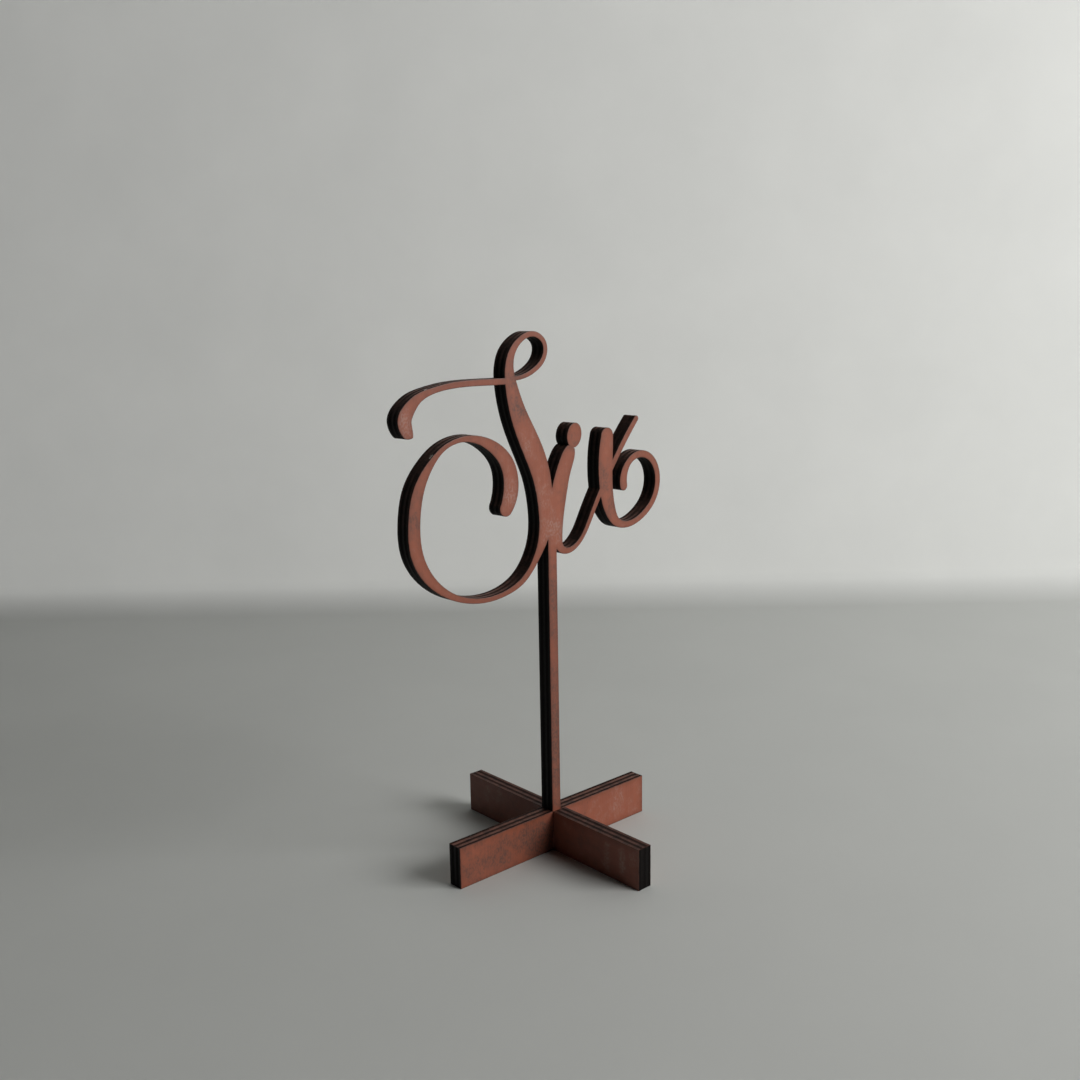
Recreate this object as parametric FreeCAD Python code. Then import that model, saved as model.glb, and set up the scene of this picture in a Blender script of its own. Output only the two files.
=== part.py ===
import FreeCAD, Part
import os

# A free-standing table number, laser-cut from five-ply board: one board is the
# script word with its stem and foot, the other is the foot that crosses it.
# X runs along the number plate, Y through it to the rear, Z up. The origin is on
# the table, in the middle of the halving joint. Millimetres throughout.

# Driving dimensions
board_thickness = 6.0
ply_count = 5
foot_height = 15.0
plate_foot_left = 46.0
plate_foot_right = 44.6
cross_foot_length = 91.8
stem_width = 4.0
stem_centre = -1.1
stem_top = 122.0
slot_clearance = 0.1

# Sizes that follow from them
ply_thickness = board_thickness / ply_count
board_half = board_thickness / 2
slot_width = board_thickness + 2 * slot_clearance
slot_depth = foot_height / 2 + slot_clearance

# The lettering, as pen strokes: each point is (x, z, nib width), and the pen runs
# smoothly through them. The strokes overlap where they join.
swash = [
    (-60.2, 156.0, 3.1), (-60.4, 157.0, 3.9), (-61.1, 158.8, 4.8), (-61.6, 161.3, 5.3),
    (-59.8, 164.8, 4.6), (-56.2, 168.0, 3.1), (-51.0, 170.0, 2.1), (-44.0, 171.25, 2.0),
    (-34.0, 171.75, 2.1), (-19.0, 171.7, 2.1),
]
loop_spine_and_bowl = [
    (-18.5, 172.4, 1.6), (-12.0, 173.2, 1.6), (-7.0, 175.5, 1.8), (-3.6, 179.0, 1.9),
    (-3.2, 183.3, 1.9), (-7.7, 186.7, 1.9), (-14.0, 185.0, 2.1), (-17.8, 180.8, 2.9),
    (-19.05, 175.0, 4.0), (-18.4, 170.3, 5.1), (-15.2, 160.0, 7.2), (-10.3, 150.0, 8.6),
    (-6.0, 140.0, 8.2), (-4.1, 130.0, 7.1), (-4.4, 120.0, 5.6), (-8.1, 111.3, 3.0),
    (-14.9, 103.6, 2.3), (-21.8, 100.6, 1.9), (-30.0, 99.5, 1.8), (-42.5, 101.8, 2.1),
    (-52.6, 108.4, 3.4), (-58.6, 118.0, 4.7), (-59.4, 130.0, 4.7), (-57.2, 139.5, 4.2),
    (-52.6, 146.8, 2.7), (-46.7, 151.9, 1.7), (-38.0, 154.1, 2.0), (-27.5, 151.0, 4.0),
    (-20.6, 143.8, 5.9), (-19.4, 136.0, 6.6), (-21.7, 129.4, 5.6),
]
loop_joint = 8
small_i = [
    (8.6, 147.6, 3.6), (7.3, 144.9, 6.0), (5.1, 140.3, 6.7), (2.7, 133.1, 7.4),
    (1.3, 122.5, 6.0), (1.5, 115.8, 4.6), (3.4, 111.8, 2.9), (6.6, 110.9, 2.2),
    (10.6, 112.3, 1.9), (18.5, 122.8, 2.0), (26.4, 135.4, 2.2), (32.1, 143.5, 2.3),
    (41.5, 155.2, 2.2),
]
small_x = [
    (26.3, 149.9, 6.2), (25.85, 146.0, 6.9), (25.5, 134.0, 6.9), (28.2, 121.8, 5.0),
    (31.2, 117.9, 3.4), (36.0, 116.4, 2.5), (44.6, 118.7, 2.4), (51.5, 125.2, 2.6),
    (53.0, 133.5, 2.7), (49.3, 140.0, 2.7), (43.0, 141.9, 2.7), (37.8, 139.7, 2.7),
    (34.8, 134.5, 3.6), (34.8, 131.0, 3.7),
]
dot_centre = (10.05, 151.5)
dot_top = (11.15, 155.8)
dot_side = (6.7, 152.3)


def at(x, z):
    """A point in the plane that the number plate is drawn in."""
    return FreeCAD.Vector(x, 0, z)


def filled(outline):
    """The flat face inside an outline, always facing the front so that faces fuse."""
    face = Part.Face(outline)
    if face.normalAt(0, 0).y > 0:
        face.reverse()
    return face


def smooth_edge(points):
    """A smooth edge through the points."""
    curve = Part.BSplineCurve()
    curve.interpolate(points)
    return curve.toShape()


def nib(path, parameter):
    """Where the pen is: its left and right edge points and its direction."""
    x, z, width = path.value(parameter)
    direction = path.tangent(parameter)[0]
    direction = at(direction.x, direction.y).normalize()
    across = at(-direction.z, direction.x) * (width / 2)
    return at(x, z) + across, at(x, z) - across, direction


def end_cap(left, right, outward, roundness):
    """The end of a stroke: straight across, or an arc that bulges outward."""
    if roundness == 0:
        return Part.LineSegment(left, right).toShape()
    bulge = outward * (left.distanceToPoint(right) / 2 * roundness)
    return Part.Arc(left, (left + right) / 2 + bulge, right).toShape()


def stroke_faces(points, start_round=0, end_round=0, joint=None, samples=4):
    """The face that the pen covers, in two parts if it crosses itself after a joint."""
    path = Part.BSplineCurve()
    path.interpolate([FreeCAD.Vector(*point) for point in points])
    knots = path.getKnots()
    breaks = [0, len(points) - 1] if joint is None else [0, joint, len(points) - 1]
    faces = []
    for first, last in zip(breaks, breaks[1:]):
        parameters = []
        for low, high in zip(knots[first:last], knots[first + 1:last + 1]):
            parameters += [low + (high - low) * step / samples for step in range(samples)]
        parameters.append(knots[last])
        nibs = [nib(path, parameter) for parameter in parameters]
        lefts = [left for left, right, direction in nibs]
        rights = [right for left, right, direction in nibs]
        first_way = nibs[0][2]
        last_way = nibs[-1][2]
        first_round = start_round if first == 0 else 0
        last_round = end_round if last == len(points) - 1 else 0
        outline = Part.Wire([
            smooth_edge(lefts),
            end_cap(lefts[-1], rights[-1], last_way, last_round),
            smooth_edge(rights),
            end_cap(lefts[0], rights[0], -first_way, first_round),
        ])
        faces.append(filled(outline))
    return faces


def rectangle(left, right, bottom, top):
    """An upright rectangle in the drawing plane."""
    corners = [at(left, bottom), at(right, bottom), at(right, top), at(left, top), at(left, bottom)]
    return filled(Part.makePolygon(corners))


def dot_face():
    """The dot of the i: a leaning ellipse."""
    ellipse = Part.Ellipse(at(*dot_top), at(*dot_side), at(*dot_centre))
    return filled(Part.Wire(ellipse.toShape()))


def number_plate_face():
    """Outline of the number plate: lettering, stem and foot, less the slot from below."""
    faces = stroke_faces(swash, start_round=0.2)
    faces += stroke_faces(loop_spine_and_bowl, end_round=1, joint=loop_joint)
    faces += stroke_faces(small_i, end_round=1)
    faces += stroke_faces(small_x, start_round=1, end_round=1)
    faces.append(dot_face())
    faces.append(rectangle(stem_centre - stem_width / 2, stem_centre + stem_width / 2,
                           foot_height / 2, stem_top))
    foot = rectangle(-plate_foot_left, plate_foot_right, 0, foot_height)
    slot = rectangle(-slot_width / 2, slot_width / 2, 0, slot_depth)
    whole = foot.multiFuse(faces).removeSplitter()
    return whole.cut(slot).Faces[0]


def cross_foot_face():
    """Outline of the cross foot, in the plane X = 0, less the slot from above."""
    half = cross_foot_length / 2
    foot = rectangle(-half, half, 0, foot_height)
    slot = rectangle(-slot_width / 2, slot_width / 2, foot_height - slot_depth, foot_height)
    face = foot.cut(slot).Faces[0]
    face.rotate(FreeCAD.Vector(0, 0, 0), FreeCAD.Vector(0, 0, 1), 90)
    return face


def plies(face, across):
    """The board's plies, from its low side to its high side along one axis."""
    layers = []
    for number in range(ply_count):
        sheet = face.translated(across * (number * ply_thickness - board_half))
        layers.append(sheet.extrude(across * ply_thickness))
    return layers


def save(names, solids):
    """One STEP file for each named piece."""
    for name, solid in zip(names, solids):
        solid.exportStep("parts/" + name + ".step")
        print(name, "valid" if solid.isValid() else "NOT VALID", round(solid.Volume, 1), "mm3")


def board_names(board, low_side, high_side):
    """Names of a board's plies, in order."""
    layers = [low_side + "_veneer", low_side + "_crossband", "core",
              high_side + "_crossband", high_side + "_veneer"]
    return [board + "_" + layer for layer in layers]


os.makedirs("parts", exist_ok=True)
save(board_names("number_plate", "front", "rear"),
     plies(number_plate_face(), FreeCAD.Vector(0, 1, 0)))
save(board_names("cross_foot", "left", "right"),
     plies(cross_foot_face(), FreeCAD.Vector(1, 0, 0)))
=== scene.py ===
import math
import bmesh
import bpy
from mathutils import Matrix, Vector, geometry, kdtree, noise


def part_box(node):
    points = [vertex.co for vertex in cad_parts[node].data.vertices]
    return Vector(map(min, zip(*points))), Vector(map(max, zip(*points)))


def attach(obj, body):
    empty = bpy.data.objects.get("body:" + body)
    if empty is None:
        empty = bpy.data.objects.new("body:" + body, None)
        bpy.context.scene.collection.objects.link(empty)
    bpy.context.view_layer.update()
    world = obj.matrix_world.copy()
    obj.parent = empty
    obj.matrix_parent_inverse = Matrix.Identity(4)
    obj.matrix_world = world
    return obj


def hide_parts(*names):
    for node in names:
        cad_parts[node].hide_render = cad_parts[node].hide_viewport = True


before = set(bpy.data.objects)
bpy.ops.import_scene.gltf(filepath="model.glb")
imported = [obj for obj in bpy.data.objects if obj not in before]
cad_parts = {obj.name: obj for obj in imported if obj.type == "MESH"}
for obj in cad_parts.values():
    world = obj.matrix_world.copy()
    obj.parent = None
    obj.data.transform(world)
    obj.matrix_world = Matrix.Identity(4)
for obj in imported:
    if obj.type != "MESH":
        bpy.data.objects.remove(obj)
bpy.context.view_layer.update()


# Cross foot, face veneers. The two outer sheets of the board that crosses the plate: 1.2 mm birch,
# grain along the foot, stained copper-brown with a satin coat. A laser cut them with the rest of the
# board, so their arrises are slightly burnt back and a scorched rim runs just inside each one.

MM = 0.001
UP = Vector((0, 0, 1))
FOOT_LEFT_SIDE = Vector((-1, 0, 0))
GRAIN_X = 0
GRAIN_Y = 1
GRAIN_Z = 2
sheet_thickness = 1.2 * MM


def outlines_of(node, low_side):
    """The closed outlines of a ply, seen square on from its low side, with the wood on the left."""
    square_on = 0.99
    sheet = bmesh.new()
    sheet.from_mesh(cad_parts[node].data)
    bmesh.ops.remove_doubles(sheet, verts=sheet.verts, dist=0.001 * MM)
    sheet.verts.index_update()
    right = UP.cross(low_side)
    follows = {}
    places = {}
    for face in sheet.faces:
        if face.normal.dot(low_side) < square_on:
            continue
        for loop in face.loops:
            beside = [other for other in loop.edge.link_faces if other is not face]
            if all(other.normal.dot(low_side) < square_on for other in beside):
                follows[loop.vert.index] = loop.link_loop_next.vert.index
                places[loop.vert.index] = Vector((loop.vert.co.dot(right), loop.vert.co.z))
    sheet.free()
    found = []
    while follows:
        index = min(follows)
        outline = []
        while index in follows:
            outline.append(places[index])
            index = follows.pop(index)
        found.append(outline)
    return found


def with_neighbours(outline):
    """Each point of a closed outline, between the one before it and the one after it."""
    return zip(outline[-1:] + outline[:-1], outline, outline[1:] + outline[:1])


def evenly_spaced(outline):
    """The outline with crowded points dropped, long runs divided, and its corners kept."""
    spacing = 0.35 * MM
    corner_turn = math.radians(20)
    kept = []
    for before, point, after in with_neighbours(outline):
        corner = (point - before).angle(after - point) > corner_turn
        if corner or not kept or (point - kept[-1]).length > spacing / 2:
            kept.append(point)
    spaced = []
    for point, after in zip(kept, kept[1:] + kept[:1]):
        steps = max(1, round((after - point).length / spacing))
        spaced += [point.lerp(after, step / steps) for step in range(steps)]
    return spaced


def ways_inward(outline):
    """At each point the way into the wood, lengthened at corners so that both sides move alike."""
    sharpest = 0.6
    ways = []
    for before, point, after in with_neighbours(outline):
        arriving = (point - before).normalized()
        leaving = (after - point).normalized()
        way = (arriving + leaving).normalized().orthogonal()
        ways.append(way / max(way.dot(arriving.orthogonal()), sharpest))
    return ways


def goes_round_air(outline):
    """Whether an outline is that of a hole, which runs clockwise."""
    return sum(point.cross(after) for point, after in zip(outline, outline[1:] + outline[:1])) < 0


def seeds_inside(ring, ways, edge):
    """Places on a staggered grid inside a ring and clear of it, which give a broad face an even mesh."""
    spacing = 1.1 * MM
    row_height = spacing * math.sin(math.radians(60))
    clearance = 0.6 * spacing
    left, right = min(point.x for point in ring), max(point.x for point in ring)
    low, high = min(point.y for point in ring), max(point.y for point in ring)
    seeds = []
    for row in range(int((high - low) / row_height)):
        for column in range(int((right - left) / spacing)):
            seed = Vector((left + (column + row % 2 / 2) * spacing, low + row * row_height))
            beside, index, distance = edge.find(seed.to_3d())
            if distance > clearance and (seed - beside.to_2d()).dot(ways[index]) > 0:
                seeds.append(seed)
    return seeds


def filled_face(flat, onward, hole_of, seeds):
    """The places and triangles that fill a face, and which point of its ring each place is, or None.
    A triangle whose corners are all on the ring of one hole lies over that hole, so it is left out."""
    inside_only = 1
    closeness = 0.0001
    found, _, fill, origins, *_ = geometry.delaunay_2d_cdt(
        [place / MM for place in flat + seeds], list(enumerate(onward)), [], inside_only, closeness)
    places = [place * MM for place in found]
    ring_points = [sources[0] if sources and sources[0] < len(flat) else None for sources in origins]
    holes = [None if point is None else hole_of[point] for point in ring_points]
    triangles = []
    for corners in fill:
        first, second, third = (holes[corner] for corner in corners)
        if first is None or not first == second == third:
            triangles.append(corners)
    return places, ring_points, triangles


def nearness(place, centre, radius):
    """How near a place is to a centre: 1 there, and 0 from the radius on."""
    return max(0, 1 - ((place - centre).length / radius) ** 2)


def put_in_scene(name, data):
    """An object of that name for a mesh, a lamp or a camera."""
    placed = bpy.data.objects.new(name, data)
    bpy.context.scene.collection.objects.link(placed)
    return placed


def cut_sheet(name, node, low_side, profile, grain, stained_rings, chips=(), patches=()):
    """One ply cut from its outline. The profile's rings run back from the face on its low side, each
    with its inset, its depth, how far in a chip breaks it away, and its burnt rim. A patch paints the
    face paler, above 0, or darker, below 0, and among the patches are painted sheen, painted light and
    painted shade. The sheet's first finish is for its stained faces, and its second for the cut and
    the glued ones."""
    smoke_reach = 2.6 * MM
    burn_depth = 0.03 * MM
    burn_length = 1.3 * MM
    arris_turn = math.radians(38)
    right = UP.cross(low_side)
    low_corner, high_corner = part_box(node)
    low_place = max(low_corner.dot(low_side), high_corner.dot(low_side))
    outlines = [evenly_spaced(outline) for outline in outlines_of(node, low_side)]
    points = [point for outline in outlines for point in outline]
    ways = [way for outline in outlines for way in ways_inward(outline)]
    onward = []
    hole_of = []
    for number, outline in enumerate(outlines):
        first = len(onward)
        onward += [first + (i + 1) % len(outline) for i in range(len(outline))]
        hole_of += [number if goes_round_air(outline) else None] * len(outline)
    verts = []
    faces = []
    stained = []
    carried = {"rim": [], "smoke": [], "end_grain": [], "upward": [], "chipped": [], "tone": []}

    def add_vertex(flat, depth, **values):
        verts.append(right * flat.x + UP * flat.y + low_side * (low_place - depth))
        values["tone"] = sum(nearness(flat, centre, radius) ** 2 * tone for centre, radius, tone in patches)
        for attribute, kept in carried.items():
            kept.append(values.get(attribute, 0.0))
        return len(verts) - 1

    rings = []
    for inset, depth, chip_inset, rim in profile:
        ring = []
        for point, way in zip(points, ways):
            chip = sum(nearness(point, centre, radius) for centre, radius in chips)
            burnt_back = 0.5 + 0.5 * noise.noise(Vector((*point, low_place)) / burn_length)
            facing = -(right * way.x + UP * way.y).normalized()
            ring.append(add_vertex(
                point + way * (inset + chip * chip_inset + burnt_back * burn_depth), depth,
                rim=rim, smoke=1.0, end_grain=facing[grain] ** 2, upward=max(0, facing.z),
                chipped=min(1, 2 * chip) if chip_inset else 0.0))
        rings.append(ring)
    for number, (ring, deeper) in enumerate(zip(rings, rings[1:])):
        for i, j in enumerate(onward):
            faces.append((ring[i], deeper[i], deeper[j], ring[j]))
            stained.append(number in stained_rings)
    last = len(profile) - 1
    for number, is_stained in ((0, 0 in stained_rings), (last, last - 1 in stained_rings)):
        ring = rings[number]
        flat = [Vector((verts[index].dot(right), verts[index].z)) for index in ring]
        edge = kdtree.KDTree(len(flat))
        for index, place in enumerate(flat):
            edge.insert(place.to_3d(), index)
        edge.balance()
        seeds = seeds_inside(flat, ways, edge) if is_stained else []
        places, ring_points, triangles = filled_face(flat, onward, hole_of, seeds)
        numbers = []
        for place, point in zip(places, ring_points):
            if point is None:
                beside, index, distance = edge.find(place.to_3d())
                smoke = max(0, 1 - distance / smoke_reach) ** 2
                numbers.append(add_vertex(place, profile[number][1], smoke=smoke))
            else:
                numbers.append(ring[point])
        for corners in triangles:
            triangle = [numbers[corner] for corner in corners]
            faces.append(triangle[::-1] if number == last else triangle)
            stained.append(is_stained)
    mesh = bpy.data.meshes.new(name)
    mesh.from_pydata(verts, [], faces)
    for attribute, values in carried.items():
        layer = mesh.attributes.new(attribute, "FLOAT", "POINT")
        layer.data.foreach_set("value", values)
    mesh.polygons.foreach_set("material_index", [0 if face else 1 for face in stained])
    mesh.shade_smooth()
    mesh.set_sharp_from_angle(angle=arris_turn)
    return put_in_scene(name, mesh)


def colour(code):
    """An sRGB hex colour as the linear colour that a socket takes."""
    shares = [int(code[i:i + 2], 16) / 255 for i in (0, 2, 4)]
    linear = [share / 12.92 if share <= 0.04045 else ((share + 0.055) / 1.055) ** 2.4
              for share in shares]
    return (*linear, 1)


def add_node(tree, kind, inputs, **settings):
    """Adds a shader node with its settings, and sets or links each of its inputs."""
    node = tree.nodes.new("ShaderNode" + kind)
    for name, value in settings.items():
        setattr(node, name, value)
    for name, value in inputs.items():
        if isinstance(value, bpy.types.NodeSocket):
            tree.links.new(value, node.inputs[name])
        else:
            node.inputs[name].default_value = value
    return node


def marks(tree, sizes, seed, detail=2.0):
    """A cloudy pattern from 0 to 1, its marks as long along X, Y and Z as the sizes in millimetres.
    The seed moves it, so that no two patterns line up."""
    scaled = add_node(tree, "Mapping", {
        "Vector": add_node(tree, "TexCoord", {}).outputs["Object"],
        "Location": (seed, seed * 0.7, seed * 1.3),
        "Scale": [1 / (size * MM) for size in sizes]})
    pattern = add_node(tree, "TexNoise", {
        "Vector": scaled.outputs["Vector"], "Scale": 1.0, "Detail": detail})
    return pattern.outputs["Fac"]


def along_grain(grain, across, along):
    """Sizes of a mark that is drawn out along the grain."""
    sizes = [across] * 3
    sizes[grain] = along
    return sizes


def washed(tree, under, over, value, low=0.0, high=1.0, most=1.0):
    """A colour with another washed over it: not at all where the value is low, and up to the most,
    a number or a socket, where it is high."""
    share = add_node(tree, "MapRange", {
        "Value": value, "From Min": low, "From Max": high, "To Min": 0.0, "To Max": most})
    return add_node(tree, "Mix", {0: share.outputs["Result"], 6: under, 7: over},
                    data_type="RGBA").outputs[2]


def stained_veneer(name, grain, seed, light, dark):
    """Birch veneer with a copper-brown stain and a satin coat. The stain took unevenly, in dark and in
    hazy patches that break up into specks at the pores. A board's patches wash the same colours on,
    as painted sheen and painted light where they are pale, and partly as painted shade where they are
    dark. The laser's smoke browned it towards every cut. Birch pores are 0.1 mm wide and its fibres
    finer: pores are drawn 0.2 mm wide, fibres 0.35 mm and specks 0.6 mm, so that they show."""
    fibre_brown = colour("5E3020")
    pore_brown = colour("4A261C")
    heavy_stain_and_painted_shade = colour("4A3E39")
    pale_haze_and_painted_sheen = colour("C4BDB6")
    smoke_brown = colour("6E3826")
    soot_brown = colour("2A120D")
    material = bpy.data.materials.new(name)
    material.use_nodes = True
    tree = material.node_tree
    shader = tree.nodes["Principled BSDF"]
    figure = marks(tree, along_grain(grain, 3.5, 45.0), seed)
    fibre = marks(tree, along_grain(grain, 0.35, 9.0), seed + 3)
    pore = marks(tree, along_grain(grain, 0.22, 2.6), seed + 5)
    cloud = marks(tree, (8.0, 8.0, 8.0), seed + 7, detail=4.0)
    mottle = marks(tree, (2.6, 2.6, 2.6), seed + 9, detail=3.0)
    soot = marks(tree, (1.6, 1.6, 1.6), seed + 11, detail=4.0)
    speck = marks(tree, along_grain(grain, 0.6, 1.0), seed + 13, detail=1.0)
    stain = washed(tree, colour(light), colour(dark), figure, 0.35, 0.65)
    stain = washed(tree, stain, fibre_brown, fibre, 0.4, 0.75, most=0.16)
    stain = washed(tree, stain, pore_brown, pore, 0.64, 0.74, most=0.25)
    tone = add_node(tree, "Attribute", {}, attribute_name="tone").outputs["Fac"]
    for pattern, swing in ((cloud, 0.45), (mottle, 0.35)):
        drift = add_node(tree, "MapRange", {
            "Value": pattern, "From Min": 0.3, "From Max": 0.7, "To Min": -swing, "To Max": swing})
        tone = add_node(tree, "Math", {0: tone, 1: drift.outputs["Result"]}, operation="ADD").outputs[0]
    # Dark wash where the tone is low, pale haze where it is high: uneven stain, and at a board's patches
    # painted shade and painted sheen.
    stain_and_shade_share = add_node(tree, "MapRange", {
        "Value": speck, "From Min": 0.45, "From Max": 0.6, "To Min": 0.4, "To Max": 0.8})
    stain = washed(tree, stain, heavy_stain_and_painted_shade, tone, -0.1, -1.1, stain_and_shade_share.outputs["Result"])
    haze_and_sheen_share = add_node(tree, "MapRange", {
        "Value": speck, "From Min": 0.56, "From Max": 0.4, "To Min": 0.044, "To Max": 0.22})
    stain = washed(tree, stain, pale_haze_and_painted_sheen, tone, 0.1, 1.1, haze_and_sheen_share.outputs["Result"])
    smoke = add_node(tree, "Attribute", {}, attribute_name="smoke").outputs["Fac"]
    stain = washed(tree, stain, smoke_brown, smoke, most=0.45)
    rim = add_node(tree, "Attribute", {}, attribute_name="rim").outputs["Fac"]
    sootiest = add_node(tree, "MapRange", {
        "Value": soot, "From Min": 0.3, "From Max": 0.7, "To Min": 0.1875, "To Max": 0.75})
    stain = washed(tree, stain, soot_brown, rim, most=sootiest.outputs["Result"])
    tree.links.new(stain, shader.inputs["Base Color"])
    rubbing = add_node(tree, "MapRange", {
        "Value": cloud, "From Min": 0.3, "From Max": 0.7, "To Min": 0.55, "To Max": 0.4})
    tree.links.new(rubbing.outputs["Result"], shader.inputs["Roughness"])
    shader.inputs["IOR"].default_value = 1.5
    relief = add_node(tree, "Bump", {"Height": fibre, "Strength": 0.35, "Distance": 0.03 * MM})
    pits = add_node(tree, "MapRange", {
        "Value": pore, "From Min": 0.55, "From Max": 0.75, "To Min": 1.0, "To Max": 0.0})
    pitted = add_node(tree, "Bump", {
        "Height": pits.outputs["Result"], "Strength": 0.5, "Distance": 0.05 * MM,
        "Normal": relief.outputs["Normal"]})
    tree.links.new(pitted.outputs["Normal"], shader.inputs["Normal"])
    return material


def scorched_edge(name, thickness_axis, seed, painted_lit_top_along):
    """Laser-cut edge of birch ply, charred black, with the fine lines that the beam leaves across the
    board. Where it faces up it is painted browner, painted light for the light that falls on the top,
    and there it shows browner on fibres that lie along the cut than on their ends. Where it is
    chipped, bare birch shows. The beam's lines are about 0.1 mm apart, and are drawn 0.3 mm apart so
    that they show."""
    painted_lit_top_ends = colour("33201A")
    charred = colour("100B0A")
    sooty = colour("0C0808")
    beam_line = colour("060505")
    bare_birch = colour("F0EAE0")
    material = bpy.data.materials.new(name)
    material.use_nodes = True
    tree = material.node_tree
    shader = tree.nodes["Principled BSDF"]
    lines = marks(tree, along_grain(thickness_axis, 0.3, 2.5), seed)
    soot = marks(tree, (2.5, 2.5, 2.5), seed + 2, detail=4.0)
    ends = add_node(tree, "Attribute", {}, attribute_name="end_grain").outputs["Fac"]
    upward = add_node(tree, "Attribute", {}, attribute_name="upward").outputs["Fac"]
    chipped = add_node(tree, "Attribute", {}, attribute_name="chipped").outputs["Fac"]
    # Painted light: faces that look up take the browner lit colour, and the others stay charred.
    painted_lit_top = washed(tree, colour(painted_lit_top_along), painted_lit_top_ends, ends)
    char = washed(tree, charred, painted_lit_top, upward)
    char = washed(tree, char, sooty, soot, 0.4, 0.65, most=0.6)
    char = washed(tree, char, beam_line, lines, 0.5, 0.7, most=0.4)
    char = washed(tree, char, bare_birch, chipped)
    tree.links.new(char, shader.inputs["Base Color"])
    dryness = add_node(tree, "MapRange", {
        "Value": ends, "From Min": 0.0, "From Max": 1.0, "To Min": 0.45, "To Max": 0.85})
    tree.links.new(dryness.outputs["Result"], shader.inputs["Roughness"])
    shader.inputs["IOR"].default_value = 1.5
    shader.inputs["Specular IOR Level"].default_value = 0.12
    relief = add_node(tree, "Bump", {"Height": lines, "Strength": 0.7, "Distance": 0.05 * MM})
    tree.links.new(relief.outputs["Normal"], shader.inputs["Normal"])
    return material


def patch(across, height, radius, tone):
    """Where on a board the face is painted paler or darker, with its place and radius in millimetres."""
    return Vector((across, height)) * MM, radius * MM, tone


# Rings of a face veneer, from the show face back: a burnt rim, a soft arris, the cut edge, and the
# glue line behind it. Columns: inset, depth, how far in a chip goes, and burnt rim. The show rings
# are the ones that the stain covers, each as far as the next.
show_face_profile = [
    (0.30 * MM, 0.0, 0.0, 0.0),
    (0.12 * MM, 0.0, 0.0, 1.0),
    (0.04 * MM, 0.04 * MM, 0.0, 1.0),
    (0.0, 0.13 * MM, 0.0, 1.0),
    (0.01 * MM, 0.3 * MM, 0.0, 1.0),
    (0.01 * MM, 0.6 * MM, 0.4 * MM, 1.0),
    (0.01 * MM, 1.16 * MM, 0.08 * MM, 1.0),
    (0.05 * MM, sheet_thickness, 0.0, 1.0),
]
show_rings = (0, 1, 2)
back_face_profile = [(inset, sheet_thickness - depth, chip_inset, rim)
                     for inset, depth, chip_inset, rim in reversed(show_face_profile)]
back_show_rings = (4, 5, 6)

# Two upright rows of paler marks near the foot's front end and a pale place beyond them, and darker
# painted shade towards the crossing, where the plate shades this face. Places run forward from the
# foot's middle and up from the floor.
pale_upright_marks = [patch(across, height, 2.2, 1.1) for across in (30.5, 38.0) for height in (3.5, 6.0, 8.5, 11.0)]
foot_patches = [*pale_upright_marks, patch(44, 10, 5, 0.8), patch(14, 8, 9, -0.3)]
foot_veneer_stain = stained_veneer("satin_copper_stain_on_birch_along_foot", GRAIN_Y, 11, "824C3B", "884E3C")
foot_scorched_edge = scorched_edge("laser_scorched_ply_edge_of_foot", GRAIN_X, 23, "5D362B")
for side, profile, rings, patches in (("left", show_face_profile, show_rings, foot_patches),
                                      ("right", back_face_profile, back_show_rings, ())):
    veneer = cut_sheet("foot_face_veneer_" + side, "cross_foot_" + side + "_veneer", FOOT_LEFT_SIDE,
                       profile, GRAIN_Y, rings, patches=patches)
    veneer.data.materials.append(foot_veneer_stain)
    veneer.data.materials.append(foot_scorched_edge)
    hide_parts("cross_foot_" + side + "_veneer")
    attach(veneer, "cross_foot")


# Cross foot, crossbands and core. The inner sheets show only at the cut: the crossbands' grain stands
# upright and the core's runs along the foot, so the cut edge is striped. Each is glued to the next
# in the press, and the beam leaves a hairline groove at every glue line.

inner_profile = [
    (0.05 * MM, 0.0, 0.0, 1.0),
    (0.02 * MM, 0.04 * MM, 0.0, 1.0),
    (0.04 * MM, 0.35 * MM, 0.0, 1.0),
    (0.04 * MM, 0.85 * MM, 0.0, 1.0),
    (0.02 * MM, 1.16 * MM, 0.0, 1.0),
    (0.05 * MM, sheet_thickness, 0.0, 1.0),
]
for layer, grain, slot in (("left_crossband", GRAIN_Z, "crossband_edge"),
                           ("core", GRAIN_Y, "core_edge"),
                           ("right_crossband", GRAIN_Z, "crossband_edge")):
    ply = cut_sheet("foot_inner_ply_" + layer, "cross_foot_" + layer, FOOT_LEFT_SIDE,
                    inner_profile, grain, ())
    ply.data.materials.append(foot_veneer_stain)
    ply.data.materials.append(foot_scorched_edge)
    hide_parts("cross_foot_" + layer)
    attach(ply, "cross_foot")


# Number plate, face veneers. The lettering, stem and foot are one cut, with the grain upright so that
# the stem is strong. Two slivers are gone from the front veneer's edge on the capital, where pale
# birch shows. Its face is painted palest at the swash's end and down the spine, a painted sheen, and
# darkest by the crossing, a painted shadow of the cross foot's front arm.

PLATE_FRONT = Vector((0, -1, 0))
plate_veneer_stain = stained_veneer("satin_copper_stain_on_birch_upright", GRAIN_Z, 41, "9A563F", "A15A42")
plate_scorched_edge = scorched_edge("laser_scorched_ply_edge_of_plate", GRAIN_Y, 57, "764C3F")
bowl_sliver = (Vector((-51.6, 149.6)) * MM, 1.0 * MM)
swash_sliver = (Vector((-52.7, 170.7)) * MM, 0.5 * MM)

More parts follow.
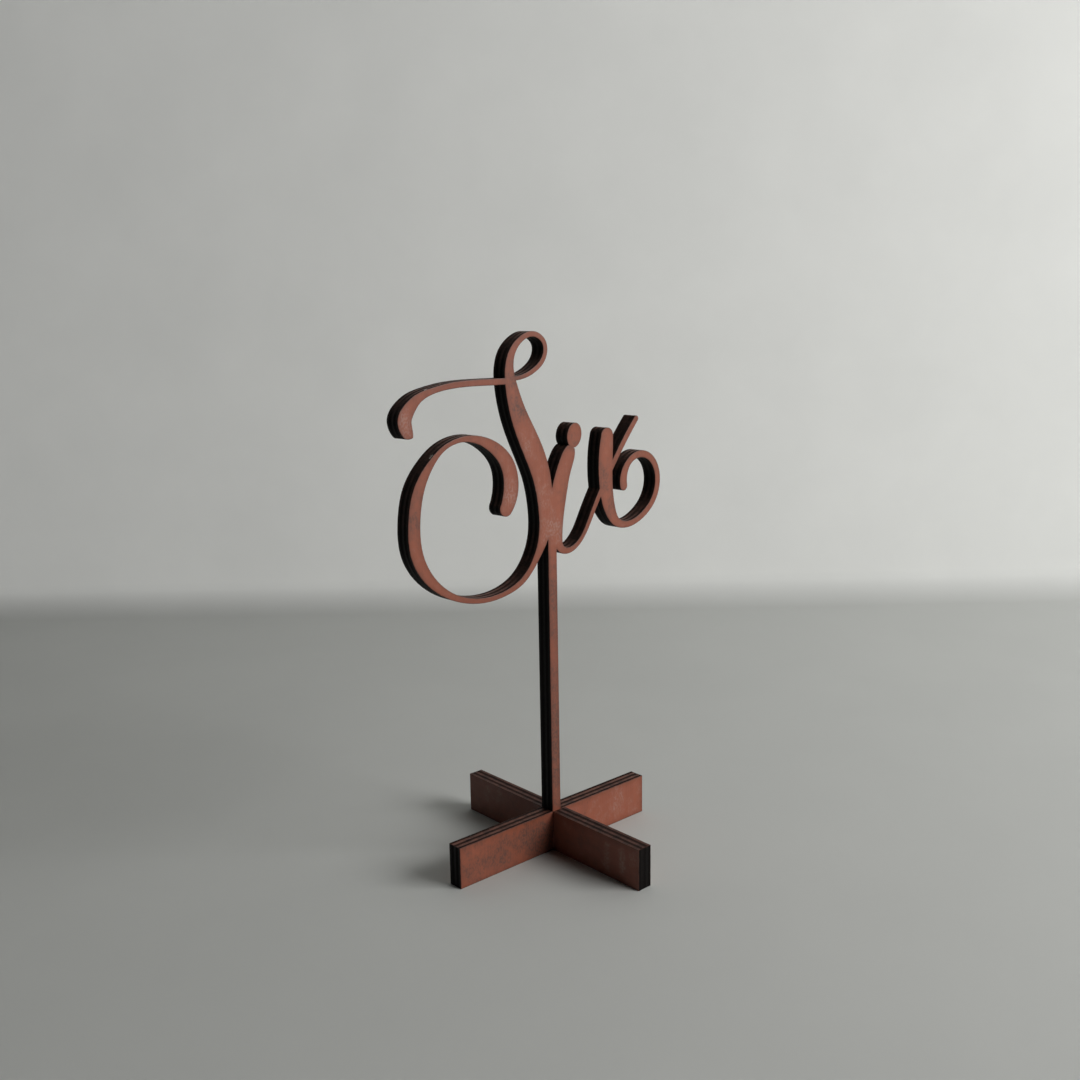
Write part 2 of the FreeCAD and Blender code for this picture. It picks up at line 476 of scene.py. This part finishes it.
# Places run to the right from the cross foot's middle and up from the floor, then come a patch's
# radius and its tone.
stem_middle = -1.1
# Pale patches: painted sheen on the lettering, and painted light on the foot's right arm.
pale_patches = {
    "end of the swash": patch(-62, 160, 9, 1.0),
    "end of the curl": patch(-20, 134, 12, 0.7),
    "middle of the spine": patch(-11, 148, 7, 0.6),
    "foot of the spine": patch(-5, 131, 9, 0.6),
    "where the letters join": patch(-1, 119, 10, 0.8),
    "right arm of the foot": patch(32, 8, 18, 0.4),
}
# Dark patches: those on the lettering only darken those places; those on the foot's left arm and beside the
# crossing are painted shade, the shadow of the cross foot's front arm.
dark_patches = {
    "left of the top loop": patch(-18, 176, 8, -0.5),
    "top of the spine": patch(-13, 166, 12, -0.8),
    "left of the bowl": patch(-60, 131, 15, -0.5),
    "lower left of the bowl": patch(-57, 112, 12, -0.3),
    "dot": patch(10, 151, 6, -0.6),
    "last letter's first stroke": patch(26, 134, 12, -0.5),
    "the end of that stroke": patch(29, 122, 8, -0.5),
    "left arm of the foot": patch(-37, 6, 14, -0.8),
    "nearer the crossing": patch(-23, 5, 14, -0.8),
    "beside the crossing": patch(-7, 3, 12, -1.6),
    "above that": patch(-13, 12, 9, -1.2),
}
# The stem is made darker along most of its length.
stem_patches = [patch(stem_middle, height, 14, tone) for height, tone in (
    (21, -0.5), (33, -1.1), (46, -1.1), (59, -0.9), (73, -0.2), (86, -0.9), (99, -0.9))]
front_patches = [*pale_patches.values(), *dark_patches.values(), *stem_patches]
for side, profile, rings, slivers, patches in (
        ("front", show_face_profile, show_rings, (bowl_sliver, swash_sliver), front_patches),
        ("rear", back_face_profile, back_show_rings, (), ())):
    veneer = cut_sheet("plate_face_veneer_" + side, "number_plate_" + side + "_veneer", PLATE_FRONT,
                       profile, GRAIN_Z, rings, slivers, patches)
    veneer.data.materials.append(plate_veneer_stain)
    veneer.data.materials.append(plate_scorched_edge)
    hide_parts("number_plate_" + side + "_veneer")
    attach(veneer, "number_plate")


# Number plate, crossbands and core. As in the foot, the inner sheets are glued in the press and show
# only at the cut, but here the crossbands' grain lies level and the core's stands upright.

for layer, grain, slot in (("front_crossband", GRAIN_X, "crossband_edge"),
                           ("core", GRAIN_Z, "core_edge"),
                           ("rear_crossband", GRAIN_X, "crossband_edge")):
    ply = cut_sheet("plate_inner_ply_" + layer, "number_plate_" + layer, PLATE_FRONT,
                    inner_profile, grain, ())
    ply.data.materials.append(plate_veneer_stain)
    ply.data.materials.append(plate_scorched_edge)
    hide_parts("number_plate_" + layer)
    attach(ply, "number_plate")


# Floor and backdrop. One sweep of matt grey paper: it lies flat under the stand and turns up behind
# it. Its upright part is painted a little lighter than its floor and made to glow, painted light as
# if from a lamp of its own.

view_turn = math.radians(41.646)
ahead = Vector((math.sin(view_turn), math.cos(view_turn), 0))
sideways = Vector((math.cos(view_turn), -math.sin(view_turn), 0))
paper_front = -2.5
paper_top = 1.6
paper_half_width = 2.0
backdrop_distance = 0.36
sweep_radius = 0.02
sweep_steps = 12
sweep_line = [(paper_front, 0.0)]
for step in range(sweep_steps + 1):
    turn = math.radians(90 * step / sweep_steps)
    sweep_line.append((backdrop_distance - sweep_radius + sweep_radius * math.sin(turn),
                       sweep_radius - sweep_radius * math.cos(turn)))
sweep_line.append((backdrop_distance, paper_top))
paper_points = [ahead * distance + UP * height + sideways * across
                for across in (-paper_half_width, paper_half_width) for distance, height in sweep_line]
count = len(sweep_line)
paper_faces = [(i, i + count, i + count + 1, i + 1) for i in range(count - 1)]
paper_mesh = bpy.data.meshes.new("paper_sweep")
paper_mesh.from_pydata(paper_points, [], paper_faces)
paper_mesh.shade_smooth()
paper_mesh.set_sharp_from_angle(angle=math.radians(20))
paper = bpy.data.materials.new("matt_grey_paper")
paper.use_nodes = True
tree = paper.node_tree
shader = tree.nodes["Principled BSDF"]
cloudiness = marks(tree, (60.0, 60.0, 60.0), 71, detail=4.0)
place = add_node(tree, "TexCoord", {}).outputs["Object"]
height = add_node(tree, "SeparateXYZ", {0: place}).outputs["Z"]
# Painted light: the upright part is lighter than the floor and glows a little.
paper_tone = washed(tree, colour("CDCFCC"), colour("E6E7E4"), height, 0.0, sweep_radius)
paper_tone = washed(tree, paper_tone, colour("B4B6B4"), cloudiness, 0.3, 0.7, most=0.1)
painted_glow_share = add_node(tree, "MapRange", {
    "Value": height, "From Min": 0.0, "From Max": 0.015, "To Min": 0.0, "To Max": 0.19})
tree.links.new(paper_tone, shader.inputs["Base Color"])
tree.links.new(paper_tone, shader.inputs["Emission Color"])
tree.links.new(painted_glow_share.outputs["Result"], shader.inputs["Emission Strength"])
shader.inputs["Roughness"].default_value = 0.9
paper_sweep = put_in_scene("paper_sweep", paper_mesh)
paper_sweep.data.materials.append(paper)


# Light. One soft window a metre to the right of the stand, level with the camera, in a dim room. The
# room gives hardly any light of its own, and is seen as plain grey past the paper's ends.

window_turn = math.radians(28)
window_rise = math.radians(27)
window_distance = 1.2
window_aim_height = 0.08
window_way = Vector((math.sin(window_turn) * math.cos(window_rise),
                     -math.cos(window_turn) * math.cos(window_rise), math.sin(window_rise)))
window = bpy.data.lights.new("window", "AREA")
window.shape = "RECTANGLE"
window.size = 0.8
window.size_y = 0.6
window.energy = 11.0
window.color = (1.0, 0.99, 0.98)
window_lamp = put_in_scene("window", window)
window_lamp.location = window_way * window_distance + UP * window_aim_height
window_lamp.rotation_euler = window_way.to_track_quat("Z", "Y").to_euler()
window_lamp.visible_camera = False
world = bpy.data.worlds.new("dim_room")
bpy.context.scene.world = world
world.use_nodes = True
tree = world.node_tree
seen = add_node(tree, "LightPath", {}).outputs["Is Camera Ray"]
room_colour = washed(tree, colour("050505"), colour("B4B8B6"), seen)
tree.links.new(room_colour, tree.nodes["Background"].inputs["Color"])
bpy.context.scene.view_settings.view_transform = "Standard"


# Camera. It looks as a guest at the table does: from the plate's left, level with the top of the
# lettering, a little down, and leaning by a degree as a camera in the hand does.

view_drop = math.radians(10.994)
view_lean = math.radians(-1.021)
eye_distance = 0.39019
eye_offset = -0.003188
eye_height = 0.19105
camera = bpy.data.cameras.new("camera")
camera.lens = 37.63
camera.sensor_width = 36
eye = put_in_scene("camera", camera)
eye.matrix_world = (Matrix.Translation(ahead * -eye_distance + sideways * eye_offset + UP * eye_height)
                    @ Matrix.Rotation(-view_turn, 4, "Z")
                    @ Matrix.Rotation(math.radians(90) - view_drop, 4, "X")
                    @ Matrix.Rotation(view_lean, 4, "Z"))
bpy.context.scene.camera = eye
